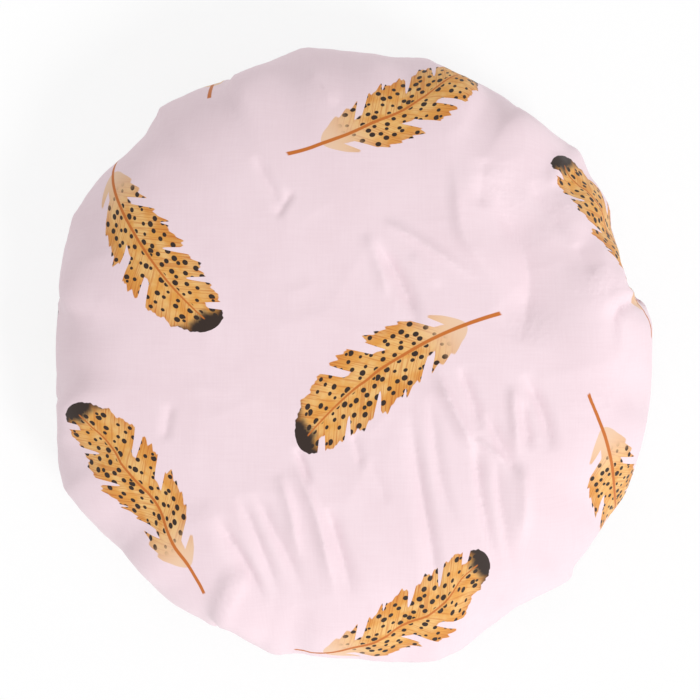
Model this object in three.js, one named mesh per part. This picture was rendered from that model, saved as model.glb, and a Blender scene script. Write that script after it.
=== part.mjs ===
// Shower cap: a circle of printed fabric and a waterproof lining, gathered into a bound edge that holds
// an elastic band. Millimetres, +Z up. The cap stands on its bound edge with the crown up, and the origin
// lies on that resting plane, under the middle of the puffed outline.
import * as THREE from "three";

// Driving dimensions of the puffed form
const OUTLINE_DIAMETER = 294; // mean outline of the puffed cap, seen from above
const CAP_HEIGHT = 86; // top of the crown above the resting plane
const EDGE_HEIGHT = 36; // height of the widest place
const CROWN_FLAT = 114; // how far the crown runs level before it rolls over
const EDGE_ROLL_UP = 36; // length of the roll above the widest place
const EDGE_ROLL_DOWN = 50; // length of the roll below it
const NECK_RISE = 14; // how far the fabric rises over the binding before it goes down into it

// Driving dimensions of the layers, the elastic and the binding
const OPENING_DIAMETER = 150; // inside of the relaxed elastic
const FABRIC_THICKNESS = 0.5;
const LINING_THICKNESS = 0.35;
const BINDING_THICKNESS = 0.5;
const ELASTIC_WIDTH = 6;
const ELASTIC_THICKNESS = 1;
const ELASTIC_LAP = 15; // how far the two ends of the elastic overlap
const FOLD_RISE = 6; // height in which the binding closes from round the elastic to the sewn edge
const SEWN_EDGE = 5; // depth of fabric edge held between the two sides of the binding
const NECK_LENGTH = 2; // straight fabric between the binding and the first roll
const THREAD_DIAMETER = 0.5;
const STITCH_INSET = 2; // from the top of the binding to its row of stitches
const LAP_ZIGS = 5; // turns of the zigzag that closes the elastic's lap
const LAP_STITCH_SHARE = 0.8; // share of the lap that the zigzag covers
const LAP_STITCH_MARGIN = 1; // from the elastic's edges to the zigzag's turns
const JOIN_STITCH_MARGIN = 1; // from the binding's bottom to the row that closes the binding's own lap
const CLEARANCE = 0.45; // between neighbouring layers, measured square to the ungathered cloth

// Gathers along the elastic
const GATHER_DEPTH = 3; // from the middle of a gather to its ridge
const GATHER_VARIATION = 0.6; // how much shallower than that a gather may be
const GATHER_RHYTHM = 2.4; // radians from one gather's depth to the next one's

// The outline's corners, each as degrees anticlockwise from +X and millimetres out from the mean outline
const OUTLINE_CORNERS = [
  [2, -1.5], [8, -2], [15, -10], [27, -6], [40, -0.5], [58, -1], [70, -1.5], [76, 1.5], [90, 0], [100, 4.5],
  [114, 1], [127, 4.5], [136, 2], [150, 5], [165, 1], [180, -2.5], [194, 2.5], [205, 8.5], [220, 1.5],
  [240, 0.5], [254, 3.5], [266, 1], [284, 6], [301, 0], [314, 3], [326, 0], [340, 0.5], [354, -2.5],
];

// Folds that the gathered edge sends up the belly and over the crown's shoulder: their ridges, in degrees
const FOLD_RIDGES = [
  0, 18, 34, 52, 70, 85, 96, 109, 123, 137, 150, 161,
  178, 193, 208, 223, 236, 247, 262, 275, 287, 304, 321, 341,
];
const WIDE_FOLD = 16.5; // degrees: a wider fold has two gathers along the elastic, others have one
const BELLY_FOLD_DEPTH = 6.5; // from the middle of a fold to its ridge
const SHOULDER_FOLD_DEPTH = 3; // from a ridge to the hollow beside it
const SHOULDER_START = 0.35; // share of the way down the crown where the folds begin

// The broad hollow in the crown
const HOLLOW_PLACE = new THREE.Vector2(75, 57); // its middle, from the middle of the crown
const HOLLOW_RADIUS = 30;
const HOLLOW_DEPTH = 3.5;

// Rings of the cloth: towards the middle of the crown, they skip more stations
const CROWN_RINGS = [
  { at: 0.2, step: 4 },
  { at: 0.38, step: 2 },
  { at: 0.55, step: 1 },
  { at: 0.68, step: 1 },
  { at: 0.84, step: 1 },
  { at: 1, step: 1 },
];
const BELLY_RINGS = [0.25, 0.5, 0.75, 1];
const ELASTIC_STEPS = 64;
const THREAD_SIDES = 4;
const LAP_STITCH_STEPS = 30;

// Heights in the binding, from the resting plane up
const elasticBottom = BINDING_THICKNESS + CLEARANCE;
const elasticTop = elasticBottom + ELASTIC_WIDTH;
const sewnBottom = elasticTop + FOLD_RISE;
const bindingTop = sewnBottom + SEWN_EDGE;
const stitchHeight = bindingTop - STITCH_INSET;
const neckTop = bindingTop + NECK_LENGTH;

// Radii in the binding: the ungathered places of both its sides, clear of the elastic at the deepest gather
const elasticInside = OPENING_DIAMETER / 2;
const lapOutside = elasticInside + 2 * ELASTIC_THICKNESS + CLEARANCE;
const lapStitchRadius = lapOutside + CLEARANCE + THREAD_DIAMETER / 2;
const outerSideRadius = lapStitchRadius + THREAD_DIAMETER / 2 + CLEARANCE + GATHER_DEPTH;
const innerSideRadius = elasticInside - CLEARANCE - GATHER_DEPTH;

// Depths of the sewn layers, measured inwards from the outer face of the fabric
const fabricInside = FABRIC_THICKNESS;
const liningOutside = fabricInside + CLEARANCE;
const liningInside = liningOutside + LINING_THICKNESS;
const innerSideDepth = liningInside + CLEARANCE;
const neckRadius = (outerSideRadius + innerSideRadius + innerSideDepth - CLEARANCE) / 2;

const outlineRadius = OUTLINE_DIAMETER / 2;
const crownCurve = new THREE.CubicBezierCurve(
  new THREE.Vector2(0, CAP_HEIGHT),
  new THREE.Vector2(CROWN_FLAT, CAP_HEIGHT),
  new THREE.Vector2(outlineRadius, EDGE_HEIGHT + EDGE_ROLL_UP),
  new THREE.Vector2(outlineRadius, EDGE_HEIGHT),
);
const bellyCurve = new THREE.CubicBezierCurve(
  new THREE.Vector2(outlineRadius, EDGE_HEIGHT),
  new THREE.Vector2(outlineRadius, EDGE_HEIGHT - EDGE_ROLL_DOWN),
  new THREE.Vector2(neckRadius, neckTop + NECK_RISE),
  new THREE.Vector2(neckRadius, neckTop),
);

// Stations round the cap, on the ridge and the hollow of each gather
const stationAngles = FOLD_RIDGES.flatMap((ridge, fold) => {
  const width = (FOLD_RIDGES[fold + 1] ?? 360) - ridge;
  const count = width > WIDE_FOLD ? 4 : 2;
  return Array.from({ length: count }, (_, i) => THREE.MathUtils.degToRad(ridge + (width * i) / count));
});
const STATIONS = stationAngles.length;

// Where an angle lies among places round the rim: the next of them, and the share of the way to it
function amongPlaces(places, angle) {
  const degrees = THREE.MathUtils.euclideanModulo(THREE.MathUtils.radToDeg(angle), 360);
  const next = Math.max(0, places.findIndex((place) => place > degrees));
  const span = THREE.MathUtils.euclideanModulo(places[next] - places.at(next - 1), 360);
  const along = THREE.MathUtils.euclideanModulo(degrees - places.at(next - 1), 360);
  return { next, share: along / span };
}

// The outline's departure from its mean circle, straight from corner to corner
function outlineOffset(angle) {
  const { next, share } = amongPlaces(OUTLINE_CORNERS.map(([at]) => at), angle);
  const [, before] = OUTLINE_CORNERS.at(next - 1);
  const [, after] = OUTLINE_CORNERS[next];
  return THREE.MathUtils.lerp(before, after, share);
}

// The folds at an angle: 1 on a ridge and -1 half-way to the next
function foldWave(angle) {
  return Math.cos(amongPlaces(FOLD_RIDGES, angle).share * 2 * Math.PI);
}

// How deep the crown's hollow is at a place
function hollowDepth(x, y) {
  const away = Math.hypot(x - HOLLOW_PLACE.x, y - HOLLOW_PLACE.y) / HOLLOW_RADIUS;
  return away < 1 ? HOLLOW_DEPTH * Math.cos((away * Math.PI) / 2) ** 2 : 0;
}

// Ridges and hollows take turns from station to station, and no two neighbouring gathers are equally deep
function gatherOffset(station) {
  const shallower = (GATHER_VARIATION * (1 + Math.sin(GATHER_RHYTHM * station))) / 2;
  return (station % 2 ? -1 : 1) * GATHER_DEPTH * (1 - shallower);
}

// One ring of the cloth: its place on the ungathered profile, the way out from there, and how far
// the outline, the folds, the hollow and the gathers shape it
function crownRing({ at, step }) {
  const place = crownCurve.getPoint(at);
  const tangent = crownCurve.getTangent(at);
  const onShoulder = Math.max(0, (at - SHOULDER_START) / (1 - SHOULDER_START));
  const fold = (SHOULDER_FOLD_DEPTH / 2) * Math.sin(onShoulder * Math.PI);
  return {
    step,
    place,
    out: new THREE.Vector2(-tangent.y, tangent.x),
    outline: (place.x / outlineRadius) ** 2,
    fold,
    sink: fold, // the crown's ridges keep its height, and the hollows lie below
    hollow: 1,
    gather: 0,
  };
}

function bellyRing(at) {
  const place = bellyCurve.getPoint(at);
  const tangent = bellyCurve.getTangent(at);
  return {
    step: 1,
    place,
    out: new THREE.Vector2(-tangent.y, tangent.x),
    outline: (place.x - neckRadius) / (outlineRadius - neckRadius),
    fold: BELLY_FOLD_DEPTH * Math.sin(at * Math.PI),
    sink: 0,
    hollow: 0,
    gather: at,
  };
}

const sewnRing = {
  step: 1,
  place: new THREE.Vector2(neckRadius, sewnBottom),
  out: new THREE.Vector2(1, 0),
  outline: 0,
  fold: 0,
  sink: 0,
  hollow: 0,
  gather: 1,
};

function ringPoint(ring, station, depth) {
  const angle = stationAngles[station];
  const plainRadius = ring.place.x + ring.outline * outlineOffset(angle);
  const hollow = ring.hollow * hollowDepth(plainRadius * Math.cos(angle), plainRadius * Math.sin(angle));
  const gather = ring.gather * gatherOffset(station);
  const lift = ring.fold * foldWave(angle) - ring.sink - hollow + gather - depth;
  const radius = plainRadius + ring.out.x * lift;
  const height = ring.place.y + ring.out.y * lift;
  return new THREE.Vector3(radius * Math.cos(angle), radius * Math.sin(angle), height);
}

function geometryOf(points, triangles) {
  const geometry = new THREE.BufferGeometry().setFromPoints(points);
  geometry.setIndex(triangles);
  geometry.computeVertexNormals();
  return geometry;
}

// A layer of the cap as a closed thin shell: its outer face, its inner face and the raw edge between them
function layerGeometry(outsideDepth, insideDepth) {
  const rings = [...CROWN_RINGS.map(crownRing), ...BELLY_RINGS.map(bellyRing), sewnRing];
  const points = [];
  const triangles = [];

  // The index of each point of one face, as a top point and a function of ring and station
  function addFace(depth) {
    const top = points.push(new THREE.Vector3(0, 0, CAP_HEIGHT - depth)) - 1;
    const starts = rings.map((ring) => {
      const start = points.length;
      for (let station = 0; station < STATIONS; station += ring.step) {
        points.push(ringPoint(ring, station, depth));
      }
      return start;
    });
    return {
      top,
      at: (ring, station) => starts[ring] + (station % STATIONS) / rings[ring].step,
    };
  }

  function addTriangles(face, flipped) {
    const add = (a, b, c) => triangles.push(...(flipped ? [a, c, b] : [a, b, c]));
    for (let station = 0; station < STATIONS; station += rings[0].step) {
      add(face.top, face.at(0, station), face.at(0, station + rings[0].step));
    }
    for (let ring = 0; ring + 1 < rings.length; ring++) {
      const { step } = rings[ring];
      for (let station = 0; station < STATIONS; station += step) {
        const here = face.at(ring, station);
        const beside = face.at(ring, station + step);
        const below = face.at(ring + 1, station);
        const belowBeside = face.at(ring + 1, station + step);
        if (rings[ring + 1].step === step) {
          add(here, below, beside);
          add(below, belowBeside, beside);
        } else {
          const between = face.at(ring + 1, station + step / 2);
          add(here, below, between);
          add(here, between, beside);
          add(between, belowBeside, beside);
        }
      }
    }
  }

  const outside = addFace(outsideDepth);
  const inside = addFace(insideDepth);
  addTriangles(outside, false);
  addTriangles(inside, true);
  const last = rings.length - 1;
  for (let station = 0; station < STATIONS; station++) {
    triangles.push(outside.at(last, station), inside.at(last, station), outside.at(last, station + 1));
    triangles.push(inside.at(last, station), inside.at(last, station + 1), outside.at(last, station + 1));
  }
  return geometryOf(points, triangles);
}

// A solid swept round the Z axis: sections are rings of [radius, height], anticlockwise, one at each angle.
// A closed sweep meets itself, and an open one gets a flat face at each end.
function sweptGeometry(angles, sections, closed) {
  const sides = sections[0].length;
  const points = sections.flatMap((section, i) =>
    section.map(([radius, height]) =>
      new THREE.Vector3(radius * Math.cos(angles[i]), radius * Math.sin(angles[i]), height)),
  );
  const triangles = [];
  const at = (section, side) => (section % sections.length) * sides + (side % sides);
  const spans = closed ? sections.length : sections.length - 1;
  for (let section = 0; section < spans; section++) {
    for (let side = 0; side < sides; side++) {
      const corner = at(section + 1, side + 1);
      triangles.push(at(section, side), at(section + 1, side), corner);
      triangles.push(at(section, side), corner, at(section, side + 1));
    }
  }
  if (!closed) {
    for (let side = 1; side + 1 < sides; side++) {
      triangles.push(at(0, 0), at(0, side), at(0, side + 1));
      triangles.push(at(spans, 0), at(spans, side + 1), at(spans, side));
    }
  }
  return geometryOf(points, triangles);
}

const stations = [...stationAngles.keys()];

// The binding's section: a strip folded round the elastic, with the cloth's edges held between its two sides
function bindingSection(station) {
  const gather = gatherOffset(station);
  const outerSewn = neckRadius + CLEARANCE + gather;
  const innerSewn = neckRadius - innerSideDepth + gather;
  const outerSide = outerSideRadius + gather;
  const innerSide = innerSideRadius + gather;
  return [
    [innerSide - BINDING_THICKNESS, 0],
    [outerSide + BINDING_THICKNESS, 0],
    [outerSide + BINDING_THICKNESS, elasticTop],
    [outerSewn + BINDING_THICKNESS, sewnBottom],
    [outerSewn + BINDING_THICKNESS, bindingTop],
    [outerSewn, bindingTop],
    [outerSewn, sewnBottom],
    [outerSide, elasticTop],
    [outerSide, BINDING_THICKNESS],
    [innerSide, BINDING_THICKNESS],
    [innerSide, elasticTop],
    [innerSewn, sewnBottom],
    [innerSewn, bindingTop],
    [innerSewn - BINDING_THICKNESS, bindingTop],
    [innerSewn - BINDING_THICKNESS, sewnBottom],
    [innerSide - BINDING_THICKNESS, elasticTop],
  ];
}

function threadSection(radius, height) {
  const reach = THREAD_DIAMETER / 2;
  return Array.from({ length: THREAD_SIDES }, (_, side) => {
    const turn = (side / THREAD_SIDES) * 2 * Math.PI;
    return [radius + reach * Math.cos(turn), height + reach * Math.sin(turn)];
  });
}

// A row of stitches round the binding, on the face at the given radius
function stitchRowGeometry(faceRadius, side) {
  const radius = faceRadius + side * (CLEARANCE + THREAD_DIAMETER / 2);
  return sweptGeometry(
    stationAngles,
    stations.map((station) => threadSection(radius + gatherOffset(station), stitchHeight)),
    true,
  );
}

// The elastic runs once round and then climbs over its own start by the length of the lap
function elasticGeometry() {
  const lapAngle = ELASTIC_LAP / elasticInside;
  const stepAngle = (2 * Math.PI) / ELASTIC_STEPS;
  const lapSteps = Math.ceil(lapAngle / stepAngle);
  const around = Array.from({ length: ELASTIC_STEPS }, (_, step) => step * stepAngle);
  const over = Array.from({ length: lapSteps + 1 }, (_, step) => 2 * Math.PI + (step / lapSteps) * lapAngle);
  const angles = [...around, ...over];
  const climb = ELASTIC_THICKNESS + CLEARANCE;
  const sections = angles.map((angle) => {
    const inside = elasticInside + (angle < 2 * Math.PI ? 0 : climb);
    const outside = inside + ELASTIC_THICKNESS;
    return [
      [inside, elasticBottom],
      [outside, elasticBottom],
      [outside, elasticTop],
      [inside, elasticTop],
    ];
  });
  return sweptGeometry(angles, sections, false);
}

// The zigzag of thread that closes the elastic's lap
function lapStitchGeometry() {
  const lapAngle = ELASTIC_LAP / elasticInside;
  const turns = Array.from({ length: 2 * LAP_ZIGS + 1 }, (_, turn) => {
    const angle = lapAngle * (0.5 + LAP_STITCH_SHARE * (turn / (2 * LAP_ZIGS) - 0.5));
    const height = turn % 2 ? elasticTop - LAP_STITCH_MARGIN : elasticBottom + LAP_STITCH_MARGIN;
    return new THREE.Vector3(lapStitchRadius * Math.cos(angle), lapStitchRadius * Math.sin(angle), height);
  });
  const circle = new THREE.Path().absarc(0, 0, THREAD_DIAMETER / 2, 0, 2 * Math.PI);
  return new THREE.ExtrudeGeometry(new THREE.Shape(circle.getPoints(3)), {
    steps: LAP_STITCH_STEPS,
    extrudePath: new THREE.CatmullRomCurve3(turns),
  });
}

// The short upright row that closes the binding's own lap, down the outer face of the ridge on the X axis
function joinStitchGeometry() {
  const bindingFace = outerSideRadius + gatherOffset(0) + BINDING_THICKNESS;
  const radius = bindingFace + CLEARANCE + THREAD_DIAMETER / 2;
  const geometry = new THREE.CylinderGeometry(
    THREAD_DIAMETER / 2,
    THREAD_DIAMETER / 2,
    elasticTop - JOIN_STITCH_MARGIN,
    2 * THREAD_SIDES,
  );
  geometry.rotateX(Math.PI / 2);
  geometry.translate(radius, 0, (elasticTop + JOIN_STITCH_MARGIN) / 2);
  return geometry;
}

const PRINTED_FABRIC = { color: 0xf0dade, roughness: 0.75, metalness: 0 };
const LINING_FILM = { color: 0xf4eef0, roughness: 0.35, metalness: 0 };
const BINDING_TAPE = { color: 0xeccfd6, roughness: 0.7, metalness: 0 };
const WHITE_ELASTIC = { color: 0xf2f0ea, roughness: 0.85, metalness: 0 };
const PINK_THREAD = { color: 0xe3bcc7, roughness: 0.6, metalness: 0 };

const cap = new THREE.Group();
function addPiece(name, geometry, finish) {
  const mesh = new THREE.Mesh(geometry, new THREE.MeshStandardMaterial(finish));
  mesh.name = name;
  cap.add(mesh);
}

addPiece("outer_shell", layerGeometry(0, fabricInside), PRINTED_FABRIC);
addPiece("waterproof_lining", layerGeometry(liningOutside, liningInside), LINING_FILM);
addPiece("edge_binding", sweptGeometry(stationAngles, stations.map(bindingSection), true), BINDING_TAPE);
addPiece("elastic_band", elasticGeometry(), WHITE_ELASTIC);
addPiece("elastic_lap_stitch", lapStitchGeometry(), PINK_THREAD);
const outerFace = neckRadius + CLEARANCE + BINDING_THICKNESS;
const innerFace = neckRadius - innerSideDepth - BINDING_THICKNESS;
addPiece("binding_needle_thread", stitchRowGeometry(outerFace, 1), PINK_THREAD);
addPiece("binding_bobbin_thread", stitchRowGeometry(innerFace, -1), PINK_THREAD);
addPiece("binding_join_stitch", joinStitchGeometry(), PINK_THREAD);

// The elastic's centre is not quite the outline's, so everything moves over by the difference
const middle = new THREE.Box3().setFromObject(cap).getCenter(new THREE.Vector3());
cap.children.forEach((mesh) => mesh.geometry.translate(-middle.x, -middle.y, 0));

export default cap;
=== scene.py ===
"""The looks of a shower cap: a circle of printed cloth over a waterproof lining, gathered into a bound edge.

The cloth is made by relaxation. It starts as a flat round cut that is mapped onto the puffed form, with its
edge held in pleats at the binding, and then it finds the folds that its own width calls for. The outline and
the creases of the photograph are pressed into it afterwards.
"""

import math

import bmesh
import bpy
import numpy as np
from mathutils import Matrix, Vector
from mathutils.bvhtree import BVHTree


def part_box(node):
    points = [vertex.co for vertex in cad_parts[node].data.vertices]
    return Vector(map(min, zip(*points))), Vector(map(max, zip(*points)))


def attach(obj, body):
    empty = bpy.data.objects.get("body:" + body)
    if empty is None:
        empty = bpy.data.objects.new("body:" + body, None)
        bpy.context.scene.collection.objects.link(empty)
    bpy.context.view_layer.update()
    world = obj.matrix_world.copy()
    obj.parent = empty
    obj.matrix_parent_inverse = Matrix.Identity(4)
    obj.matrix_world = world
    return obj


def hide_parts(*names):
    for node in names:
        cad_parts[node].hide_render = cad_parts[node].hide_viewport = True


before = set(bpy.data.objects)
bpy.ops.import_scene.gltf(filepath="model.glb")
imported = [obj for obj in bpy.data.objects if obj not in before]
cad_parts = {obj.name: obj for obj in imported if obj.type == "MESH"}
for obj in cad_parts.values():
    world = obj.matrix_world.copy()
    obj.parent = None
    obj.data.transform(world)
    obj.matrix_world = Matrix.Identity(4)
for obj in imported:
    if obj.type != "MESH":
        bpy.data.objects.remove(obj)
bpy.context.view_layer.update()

MM = 0.001

# The photograph: its frame, and the size of one of its pixels at the height of the cap's widest place
PHOTO_PIXELS = 700
PHOTO_MIDDLE = (354.0, 354.5)  # pixel of the cap's middle
PIXEL = 0.485 * MM
LENS = 100.0
SENSOR = 36.0

# The puffed form, with the sizes of the part's source
OUTLINE_RADIUS = 147 * MM
CAP_HEIGHT = 86 * MM
EDGE_HEIGHT = 36 * MM
CROWN_FLAT = 114 * MM
EDGE_ROLL_UP = 36 * MM
EDGE_ROLL_DOWN = 50 * MM
NECK_RISE = 14 * MM
NECK_RADIUS = 77.35 * MM
NECK_TOP = 20 * MM
NECK_BOTTOM = 13 * MM
PROFILE_STEPS = 300  # along the crown's curve, and along the belly's
CAMERA_HEIGHT = EDGE_HEIGHT + PHOTO_PIXELS * PIXEL * LENS / SENSOR

# The outline's corners: degrees anticlockwise from +X, and millimetres out from the mean circle
OUTLINE_CORNERS = [
    (0, -2.5), (6, -1.5), (10, -3.5), (14, -9.5), (19, -10), (26, -7.5), (30, -3.5), (37, -3), (42, 0.5),
    (48, -2.5), (60, -2.5), (70, -1.5), (76, 1), (83, -1.5), (92, 0.5), (99, 4), (107, 1), (116, 0.5),
    (128, 5.5), (134, 0), (138, 0), (144, 3), (154, 5), (166, 0.5), (172, -2), (184, -2.5), (192, 0.5),
    (200, 6), (205, 8), (213, 4), (220, 0.5), (234, 2.5), (246, 0), (255, 4), (260, 0.5), (270, 0.5),
    (285, 7), (290, 5.5), (296, 1), (303, -1.5), (314, 4.5), (317, 1), (326, -0.5), (333, 1), (340, -0.5),
    (354, -2),
]
OUTLINE_BINS = 240  # directions in which the cloth is fitted to it
FIT_FROM = 0.1  # share of the way from the neck to the mean circle, where the fit starts
FIT_FULL = 0.95  # share of the mean circle's radius, where it is full

# Creases in the crown: a line in photo pixels, then in mm its rise and its widths right and left of it
CREASES = [  # a rise below 0 makes a valley
    ([(411, 390), (412, 425), (416, 455), (420, 480), (424, 505), (429, 530), (434, 560), (441, 605),
      (447, 640)], -2.6, 9, 6),
    ([(429, 396), (433, 425), (437, 455), (441, 480), (448, 503), (460, 528)], -1.7, 6, 5.5),
    ([(433, 362), (443, 388), (451, 404), (459, 420), (468, 438), (474, 456)], 3.6, 6.5, 5.5),
    ([(459, 366), (467, 386), (475, 408), (481, 430)], -2.3, 5, 6),
    ([(485, 410), (493, 428), (501, 444), (511, 462), (517, 478)], -2.2, 5, 6),
    ([(475, 438), (488, 448), (506, 462)], 1.6, 3, 3),
    ([(477, 432), (477, 455), (478, 475), (481, 497), (485, 517), (491, 541), (500, 572)], -2.5, 4, 6.5),
    ([(496, 452), (498, 480), (501, 508), (506, 538), (514, 580)], -1.7, 4.5, 6),
    ([(511, 384), (513, 405), (515, 430), (518, 456)], 2.5, 5, 5.5),
    ([(524, 398), (526, 425), (531, 452)], -1.7, 4, 6),
    ([(521, 462), (524, 485), (524, 510), (519, 548)], 2.5, 9, 6.5),
    ([(523, 372), (534, 392), (543, 412), (549, 432), (553, 452)], -3.1, 8, 6.5),
    ([(217, 514), (226, 532), (235, 548), (245, 565), (255, 582), (267, 606)], -3, 8, 5.5),
    ([(238, 494), (246, 512), (255, 534), (263, 554), (271, 574), (281, 600)], -2.2, 6, 6),
    ([(253, 490), (262, 508), (272, 528), (283, 548), (294, 570), (305, 596)], -2.1, 6, 6.5),
    ([(277, 472), (285, 492), (291, 512), (295, 534), (301, 560)], 2.2, 6.5, 4),
    ([(294, 462), (304, 486), (313, 505), (319, 524), (324, 545), (330, 570), (338, 606)], 3, 7, 4.5),
    ([(295, 446), (300, 458), (305, 472), (310, 486)], -2, 4, 4.5),
    ([(326, 505), (332, 524), (338, 545), (345, 568), (353, 598)], -2.5, 4, 7),
    ([(352, 432), (356, 448), (361, 470)], -1.4, 3, 5),
    ([(367, 458), (379, 482), (387, 505)], -0.75, 5, 6),
    ([(452, 160), (455, 185), (457, 210), (460, 230), (468, 246), (480, 261), (494, 282)], 2.2, 6, 14),
    ([(484, 156), (483, 180), (480, 208)], -1.6, 9, 10),
    ([(490, 170), (506, 210), (527, 250), (532, 282), (527, 314), (518, 344)], -6.2, 20, 30),
    ([(533, 178), (542, 196), (555, 216), (571, 242)], -2, 7, 8),
    ([(561, 166), (570, 181), (580, 202)], -1.6, 5, 6),
    ([(576, 242), (582, 258), (593, 274)], -1.2, 6, 8),
    ([(382, 220), (402, 231), (422, 243), (446, 259), (480, 282)], 2.3, 4, 6),
    ([(364, 232), (374, 252), (382, 276), (386, 300)], 1.6, 6, 6),
    ([(376, 240), (386, 257), (397, 273), (405, 290), (412, 308), (420, 336)], -3, 8, 7),
    ([(410, 252), (424, 268), (440, 288)], 0.8, 6, 6),
    ([(656, 298), (640, 302), (627, 306), (616, 313), (615, 330), (617, 352)], -3.4, 9, 5),
    ([(253, 154), (263, 172), (273, 190), (281, 206)], -1.6, 6, 5),
    ([(293, 190), (285, 202), (275, 219)], -1.4, 6, 4),
    ([(562, 152), (556, 170), (552, 188)], 1.4, 5, 6),
    ([(171, 402), (167, 422), (164, 442)], -1.3, 6, 5),
    ([(306, 66), (320, 85), (336, 106)], 1.5, 6, 9),
]

# Broad swells, told in the same way
SWELLS = [
    ([(500, 160), (516, 200), (540, 246)], -1.2, 18, 24),
    ([(196, 500), (214, 548), (240, 616)], 1.2, 16, 14),
    ([(606, 258), (612, 312), (612, 366), (604, 420)], 2.8, 30, 9),
    ([(206, 640), (217, 615), (229, 590), (240, 566)], 2.4, 9, 9),
    ([(552, 184), (580, 224), (601, 262), (588, 304)], 2.2, 20, 8),
]
SWELL_ROUNDNESS = 1.0  # from 0, where the line is sharp, to 1
CREASE_ROUNDNESS = 0.15
CREASE_STEPS = 12  # from one of a crease's points to the next
CREASE_END = 0.3  # share of a crease in which it rises from either end
CREASED_ABOVE = 68 * MM  # the crown, which needs a finer mesh for its creases
CREASED_TILT = 0.4  # a normal's upward part from which a crease has its full rise

# Faint creases all over, as folding leaves them
FAINT_CREASES = 46
FAINT_SEED = 11
FAINT_REACH = 125 * MM
FAINT_LENGTH = (18 * MM, 55 * MM)
FAINT_RISE = (0.1 * MM, 0.4 * MM)
FAINT_WIDTH = (5 * MM, 14 * MM)

# The pleats along the bound edge
PLEATS = 40
PLEAT_DEPTH = 3 * MM
PLEAT_WARPS = [(3, 0.05), (7, 0.03), (11, 0.02)]  # waves round the edge, and each one's shift in radians
PLEAT_MEAN = 0.8  # share of the depth
PLEAT_SWING = 0.2  # share of the depth by which it varies
PLEAT_SWINGS = 9  # round the edge

# How the cloth relaxes
CLOTH_RINGS = 52
STEPS = 700
SQUEEZE = 0.3  # stiffness against being pushed together, as a share of that against stretch
BENDING = 0.3
HOLD = 0.002  # how strongly the puffed form holds the cloth
DAMPING = 0.03
TIME_STEP = 0.5
ROUGHNESS = 0.3 * MM  # of the form that it starts from
ROUGH_SEED = 3

# The lining inside the cloth
LINING_GAP = 0.9 * MM
LINING_GAP_AT_HEM = 0.6 * MM
HEM_FADE_OUT = (3 * MM, 15 * MM)  # distances out from the neck between which the gap widens
HEM_FADE_UP = 10 * MM  # height above the neck's top by which it has widened
FOLD_SHARE = 0.3  # how far into a narrow fold's width the lining may lie
FOLD_REACH = 3.6 * MM  # how far inward the fold's other wall is looked for
WALL_SKIP = 0.05 * MM  # where that look starts, clear of its own wall
PINCHED_GAP = 0.1 * MM  # where a fold is pressed flat
PINCH_RINGS = 3  # how far from there the gap stays small
LOOK_WAYS = 60  # directions in which a point of the film is tried for a way out
LOOKED_BELOW = 50 * MM  # the belly, which has all such folds
LID_CORNERS = 64
LID_LIFT = 0.5 * MM  # how far above the hem a lid closes the opening for that

# The tape round the edge: its section's middle line, as millimetres out from the hem and up from the floor
TAPE_SECTION = [
    (-2.2, 17.7), (-2.2, 15.5), (-2.3, 13), (-4.6, 9), (-5.9, 5.5), (-5.4, 2), (-3, 0.5), (0, 0.3),
    (3, 0.5), (5, 2), (5.4, 5.5), (4, 9), (1.3, 13), (1.2, 15.5), (1.2, 17.7),
]
TAPE_SECTION_STEPS = 3  # from one of these points to the next
TAPE_STEPS = 16  # along each pleat
TAPE_THICKNESS = 0.5 * MM
TAPE_LAP = 9 * MM
TAPE_LAP_SINK = 1.3  # thicknesses by which its start lies deeper, under its end
TAPE_LAP_EASED = 1.5  # laps after which it doesn't any more
TAPE_LOW_FULLNESS = 0.75  # share of the pleats' depth round the elastic
TAPE_FULLER_FROM = 5 * MM  # height from which that grows to the full depth at the hem
PUCKERS = 3  # in each pleat
PUCKER_DEPTH = 0.175 * MM
PUCKER_DRIFT = 2  # radians by which they run unevenly
PUCKER_DRIFTS = 5  # round the edge
PUCKERED_BELOW = 8 * MM  # height from which they fade towards the hem

# Stitches
STITCH_LENGTH = 2.8 * MM
STITCH_GAP = 0.5 * MM
STITCH_STEPS = 7
STITCH_SINK = 0.6  # thread widths by which its ends dive into the cloth
THREAD_RADIUS = 0.22 * MM
THREAD_SIDES = 6
SEAM_HEIGHT = 15.95 * MM
SEAM_STEPS = 4000
JOIN_HEIGHTS = (1.2 * MM, 7.5 * MM)  # between which the tape's own ends are sewn

# The elastic
ELASTIC_INSIDE = 75 * MM
ELASTIC_THICKNESS = 1 * MM
ELASTIC_BOTTOM = 0.95 * MM
ELASTIC_WIDTH = 6 * MM
ELASTIC_LAP = 15 * MM
ELASTIC_STEPS = 400
ELASTIC_RIBS = 7
RIB_DEPTH = 0.14 * MM
RIB_STEPS = 4
LAP_STEP = 1.45 * MM
LAP_RAMP = 9 * MM
LAP_ZIGS = 5
LAP_ZIG_STEPS = 6  # from one of its turns to the next
LAP_ZIG_RANGE = (0.1, 0.9)  # shares of the lap's length
LAP_ZIG_HEIGHTS = (0.18, 0.82)  # shares of the band's width

ring_low, ring_high = (Vector(corner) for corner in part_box("elastic_band"))
RING_CENTRE = np.array([ring_low.x + ELASTIC_INSIDE + ELASTIC_THICKNESS, (ring_low.y + ring_high.y) / 2])


def smoothstep(low, high, value):
    t = np.clip((value - low) / (high - low), 0, 1)
    return t * t * (3 - 2 * t)


def bezier(points, count):
    """A curve from the first point to the last, pulled by the two between them."""
    t = np.linspace(0, 1, count)[:, None]
    start, pull_start, pull_end, end = (np.array(point) for point in points)
    return (
        (1 - t) ** 3 * start
        + 3 * t * (1 - t) ** 2 * pull_start
        + 3 * t * t * (1 - t) * pull_end
        + t**3 * end
    )


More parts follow.
